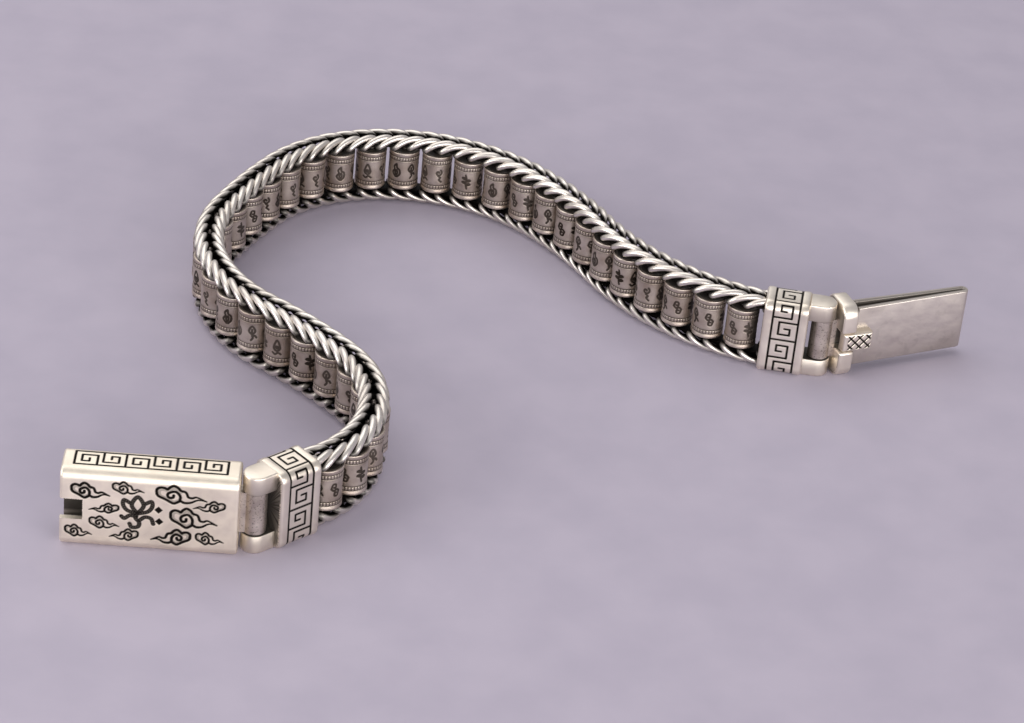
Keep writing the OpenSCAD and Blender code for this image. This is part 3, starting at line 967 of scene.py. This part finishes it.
def make_cap(name, pose, side, body, node_name):
    """Ferrule with two rims, a key fret all round, two ears, and a pocket for the braids.
    side is 1 where it lies after its hinge pin along the band, -1 where before."""
    pts, nrm, u = section(BAND_T, BAND_H, EDGE_R, 0.066, 0.066, 0.066)
    x0 = HINGE_REACH if side > 0 else -HINGE_REACH - CAP_L
    rim = np.concatenate([[0, 0.03, 0.08, 0.15, 0.24], np.linspace(0.34, RIM_W - 0.1, 5),
                          [RIM_W - 0.04, RIM_W]])
    groove = RIM_W + np.array([0.04, 0.1, 0.15, 0.21])
    band = np.linspace(RIM_W + GROOVE_W, CAP_L - RIM_W - GROOVE_W, 47)
    v = np.concatenate([rim, groove, band, CAP_L - groove[::-1], CAP_L - rim[::-1]])
    n = len(pts)
    vv, tt = np.meshgrid(v, -u)
    d = np.minimum(vv, CAP_L - vv)
    ink = 1 - smoothstep(GROOVE_W / 2 - 0.03, GROOVE_W / 2 + 0.04, np.abs(d - RIM_W - GROOVE_W / 2))
    perimeter = u[-1] + np.hypot(*(pts[0] - pts[-1]))
    period = perimeter / 5
    drawn = np.zeros(vv.shape)
    for s in fret_strokes(CAP_FRET_W, period, 7, -6 * period):
        draw(drawn, vv - RIM_W - GROOVE_W, tt, s, FRET_HALF)
    drawn *= (vv > RIM_W) & (vv < CAP_L - RIM_W)
    ink = np.maximum(ink, drawn)
    low = 0.07 * smoothstep(RIM_W - 0.06, RIM_W + 0.05, d)
    crown = 0.05 * np.where(d < RIM_W, ((d - RIM_W / 2) / (RIM_W / 2)) ** 2, 0)
    inset = ENGRAVE_DEPTH * smoothstep(0.3, 1, ink) + low + crown + ease(vv, CAP_L, 0.28)
    outer = bar_points(pts, nrm, x0 + v, inset)
    shape = Shape()
    shape.grid(outer, ink, closed_u=True)
    mouth, plate = (-1, 0) if side > 0 else (0, -1)
    # Painted shade: the end face towards the hinge is dark, darkest in its middle.
    centre = outer[:, plate].mean(0)
    flat = centre + 0.94 * (outer[:, plate] - centre)
    shape.grid(np.stack([outer[:, plate], flat], axis=1), 0.7, closed_u=True)
    shape.fan(flat, centre, 0.9)
    x_mouth = x0 + v[mouth]
    x_floor = x_mouth - side * STUB_L
    pocket = bar_points(pts, nrm, np.array([x_mouth, x_floor]), np.full((n, 2), 0.55))
    ring = np.stack([outer[:, mouth], pocket[:, 0]], axis=1)
    shape.grid(ring, np.broadcast_to([0.0, 0.5], ring.shape[:2]), closed_u=True)
    shape.grid(pocket, 0.95, closed_u=True)
    shape.fan(pocket[:, 1], pocket[:, 1].mean(0), 0.95)
    add_ear(shape, side, True)
    add_ear(shape, side, False)
    obj = shape.build(name, CAP, lambda q: placed(q, pose), crease=45)
    finish_piece(obj, body, "cap_silver", node_name)


# Tongue -------------------------------------------------------------------------------------

def rounded_polygon(corners, radii, n=7):
    """Closed outline through the corners, each rounded by its radius."""
    out = []
    m = len(corners)
    c = np.array(corners, float)
    for i in range(m):
        a, b, d = c[i - 1], c[i], c[(i + 1) % m]
        u, w = (a - b) / np.linalg.norm(a - b), (d - b) / np.linalg.norm(d - b)
        r = radii[i]
        start, end = b + u * r, b + w * r
        centre = b + (u + w) * r
        for t in np.linspace(0, math.pi / 2, n):
            out.append(centre + (start - centre) * math.cos(t) + (end - centre) * math.sin(t))
    return np.array(out)


def inset_loop(loop, amount):
    """The loop moved inwards by an amount. The loop runs clockwise or not; both work."""
    d = np.roll(loop, -1, axis=0) - np.roll(loop, 1, axis=0)
    d /= np.linalg.norm(d, axis=1)[:, None]
    normal = np.stack([d[:, 1], -d[:, 0]], axis=1)
    x, y = loop[:, 0], loop[:, 1]
    area = (x * np.roll(y, -1) - np.roll(x, -1) * y).sum()
    return loop - normal * amount * (1 if area > 0 else -1)


def make_plate():
    """Face plate: a rounded block slotted from its outer side."""
    hw, hh, s = BAND_T / 2, BAND_H / 2, NOTCH_H / 2
    corners = [(-hw, s), (-hw, hh), (hw, hh), (hw, -hh), (-hw, -hh), (-hw, -s), (0, -s), (0, s)]
    loop = rounded_polygon(corners, [0.35, 1.5, 1.5, 1.5, 1.5, 0.35, 0.3, 0.3], 13)
    steps = ((0.26, 0.0), (0.14, 0.05), (0.05, 0.14), (0.0, 0.27), (0.0, PLATE_T - 0.27),
             (0.05, PLATE_T - 0.14), (0.14, PLATE_T - 0.05), (0.26, PLATE_T))
    rings = []
    for inset, x in steps:
        ring = inset_loop(loop, inset)
        rings.append(np.stack([np.full(len(ring), HINGE_REACH + x), ring[:, 0], ring[:, 1] + MID_Z], axis=1))
    grid = np.stack(rings, axis=1)
    # Painted shade: the inside of the slot and the face towards the hinge are dark; the face towards the
    # blade stays nearly clean.
    in_slot = (np.abs(grid[..., 2] - MID_Z) < s - 0.02) & (grid[..., 1] > -hw + 0.5)
    shape = Shape()
    shape.grid(grid, np.where(in_slot, 0.75, 0.0), closed_u=True)
    shape.face(rings[0], 0.75)
    shape.face(rings[-1], 0.1, flip=True)
    obj = shape.build("tongue_plate", CAP, lambda q: placed(q, TONGUE_POSE), crease=45)
    finish_piece(obj, "tongue", "cap_silver", "tongue_face_plate")


FOLD_X = HINGE_REACH + PLATE_T + BLADE_L - FOLD_R - LEAF_T


def make_blade():
    """One strip: back leaf, fold, spring leaf, made fixed in its resting shape; the real clasp bends at the
    fold when the catch is pressed.
    """
    mid = FOLD_R + LEAF_T / 2
    start = HINGE_REACH + PLATE_T
    line = [(x, FOLD_Y + mid) for x in np.linspace(start, FOLD_X, 24)]
    open_a = math.radians(LEAF_OPEN)
    for t in np.linspace(math.pi / 2, -math.pi / 2 + open_a, 14)[1:]:
        line.append((FOLD_X + mid * math.cos(t), FOLD_Y + mid * math.sin(t)))
    leaf_l = BLADE_L - FOLD_R - LEAF_T - LEAF_END_GAP
    for s in np.linspace(0, leaf_l, 24)[1:]:
        line.append((FOLD_X - s * math.cos(open_a) + mid * math.sin(open_a),
                     FOLD_Y - s * math.sin(open_a) - mid * math.cos(open_a)))
    line = np.array(line)
    d = np.gradient(line, axis=0)
    d /= np.linalg.norm(d, axis=1)[:, None]
    normal = np.stack([-d[:, 1], d[:, 0]], axis=1)
    ht, hh, r = LEAF_T / 2, BLADE_H / 2, 0.16
    outline = rounded_polygon([(-ht, -hh), (ht, -hh), (ht, hh), (-ht, hh)], [r] * 4, 4)
    p = np.stack([line[:, None, 0] + normal[:, None, 0] * outline[None, :, 0],
                  line[:, None, 1] + normal[:, None, 1] * outline[None, :, 0],
                  np.broadcast_to(outline[None, :, 1] + MID_Z, (len(line), len(outline)))], axis=-1)
    shape = Shape()
    # Painted shade: the faces inside the fold, which face each other across the narrow gap, are darkened.
    inner = (outline[:, 0] < 0)[None, :] & np.ones((len(line), 1), bool)
    shape.grid(p, np.where(inner, 0.55, 0.0), closed_v=True)
    shape.face(p[0], 0.2)
    shape.face(p[-1], 0.2, flip=True)
    obj = shape.build("tongue_blade", LEAF, lambda q: placed(q, TONGUE_POSE), crease=50)
    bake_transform(obj)
    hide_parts("tongue_back_leaf", "tongue_spring_leaf")


CATCH_CELL = 1.15
CATCH_SHIFT = 0.35
CATCH_GROOVE = 0.09
CATCH_EDGE_R = 0.3


def make_catch():
    """Thumb catch: a block whose face is cut into rows of little cushions by crossing grooves."""
    x0, x1 = HINGE_REACH + CATCH_SET_BACK, HINGE_REACH + PLATE_T + CATCH_L
    z0, z1 = (BAND_H - CATCH_H) / 2, (BAND_H + CATCH_H) / 2
    x = np.linspace(x0, x1, 84)
    z = np.linspace(z0, z1, 50)
    xx, zz = np.meshgrid(x, z, indexing="ij")
    edge = np.minimum(np.minimum(xx - x0, x1 - xx), np.minimum(zz - z0, z1 - zz))
    a = (xx - x0 - CATCH_SHIFT + (zz - z0)) / CATCH_CELL
    b = (xx - x0 - CATCH_SHIFT - (zz - z0)) / CATCH_CELL
    line = np.minimum(np.abs(a - np.round(a)), np.abs(b - np.round(b))) * CATCH_CELL / math.sqrt(2)
    groove = 1 - smoothstep(0.02, 0.16, line)
    inside = smoothstep(0.12, 0.3, edge) * (xx > x0 + 0.5)
    y = -BAND_T / 2 + round_over(edge, CATCH_EDGE_R) + CATCH_GROOVE * groove * inside
    ink = (1 - smoothstep(0.07, 0.14, line)) * inside
    front = np.stack([xx, y, zz], axis=-1)
    foot_y = FOLD_Y - FOLD_R - LEAF_T - (FOLD_X - xx) * math.tan(math.radians(LEAF_OPEN))
    back = np.stack([xx, foot_y, zz], axis=-1)
    shape = Shape()
    shape.grid(front, ink)
    shape.grid(back[::3, ::3], 0.3)
    for edge_f, edge_b in ((front[0], back[0]), (front[-1], back[-1]), (front[:, 0], back[:, 0]),
                           (front[:, -1], back[:, -1])):
        shape.grid(np.stack([edge_f, edge_b], axis=1), np.broadcast_to([0.0, 0.35], (len(edge_f), 2)))
    obj = shape.build("thumb_catch_block", CAP, lambda q: placed(q, TONGUE_POSE), crease=50)
    finish_piece(obj, "spring_leaf", "cap_silver", "thumb_catch")


def dress_cad_nodes():
    """The hinge knuckles and pins keep their CAD shape and look like rough cast silver."""
    for name in ("box_knuckle", "tongue_knuckle", "box_hinge_pin", "tongue_hinge_pin"):
        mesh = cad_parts[name].data
        mesh.materials.clear()
        mesh.materials.append(CAST)


# Stage --------------------------------------------------------------------------------------

def make_floor():
    size = 3.0
    bpy.ops.mesh.primitive_plane_add(size=size, location=(0, 0, -0.00002))
    floor = bpy.context.object
    floor.name = "floor"
    material = bpy.data.materials.new("floor_paper")
    material.use_nodes = True
    tree = material.node_tree
    shader = tree.nodes["Principled BSDF"]
    shader.inputs["Roughness"].default_value = 0.85
    shader.inputs["Specular IOR Level"].default_value = 0.2
    place = node(tree, "ShaderNodeTexCoord", -900, 0)
    mottled = node(tree, "ShaderNodeTexNoise", -700, 0)
    mottled.inputs["Scale"].default_value = 120.0
    mottled.inputs["Detail"].default_value = 6.0
    tree.links.new(place.outputs["Object"], mottled.inputs["Vector"])
    tint = ramp(tree, -450, 0, [(0.35, (0.424, 0.386, 0.466)), (0.65, (0.456, 0.414, 0.494))])
    tree.links.new(mottled.outputs["Fac"], tint.inputs["Fac"])
    tree.links.new(tint.outputs["Color"], shader.inputs["Base Color"])
    floor.data.materials.append(material)


def area_light(name, position, target, size, power, colour=(1, 1, 1)):
    data = bpy.data.lights.new(name, "AREA")
    data.shape = "RECTANGLE"
    data.size, data.size_y = size
    data.energy = power
    data.color = colour
    obj = bpy.data.objects.new(name, data)
    bpy.context.scene.collection.objects.link(obj)
    obj.location = position
    aim = Vector(target) - Vector(position)
    obj.rotation_euler = aim.to_track_quat("-Z", "Y").to_euler()


def make_lights():
    area_light("key_softbox", (-0.16, 0.20, 0.42), (0, 0, 0), (0.60, 0.45), 1.1, (1.0, 0.985, 0.96))
    area_light("front_softbox", (0.24, -0.48, 0.13), (0, 0, 0), (0.8, 0.28), 3.5, (1.0, 0.975, 0.95))
    area_light("left_softbox", (-0.45, -0.20, 0.16), (0, 0, 0), (0.3, 0.3), 1.2, (1.0, 0.985, 0.97))
    world = bpy.data.worlds.new("studio")
    world.use_nodes = True
    background = world.node_tree.nodes["Background"]
    background.inputs["Color"].default_value = (0.80, 0.79, 0.84, 1)
    background.inputs["Strength"].default_value = 0.55
    bpy.context.scene.world = world


def make_camera():
    """Above the near side, 31.7 degrees up, with the small roll of the picture."""
    target = Vector((-3.70, 0.05, 2.25)) * MM
    distance, elevation, roll = 383.45 * MM, math.radians(31.69), math.radians(5.764)
    data = bpy.data.cameras.new("camera")
    data.lens = 116.0
    data.sensor_width = 36.0
    data.clip_start = 0.01
    data.clip_end = 20.0
    obj = bpy.data.objects.new("camera", data)
    bpy.context.scene.collection.objects.link(obj)
    position = target + Vector((0, -math.cos(elevation), math.sin(elevation))) * distance
    turn = Matrix.Rotation(math.pi / 2 - elevation, 4, "X") @ Matrix.Rotation(roll, 4, "Z")
    obj.matrix_world = Matrix.Translation(position) @ turn
    bpy.context.scene.camera = obj


bpy.context.scene.view_settings.view_transform = "Standard"
make_camera()
make_braids()
make_pins()
make_wheels()
make_box()
make_cap("box_side_ferrule", CAP_POSE, 1, "box_end", "box_side_cap")
make_cap("tongue_side_ferrule", END_CAP_POSE, -1, "tongue_end", "tongue_side_cap")
make_plate()
make_blade()
make_catch()
dress_cad_nodes()
make_floor()
make_lights()
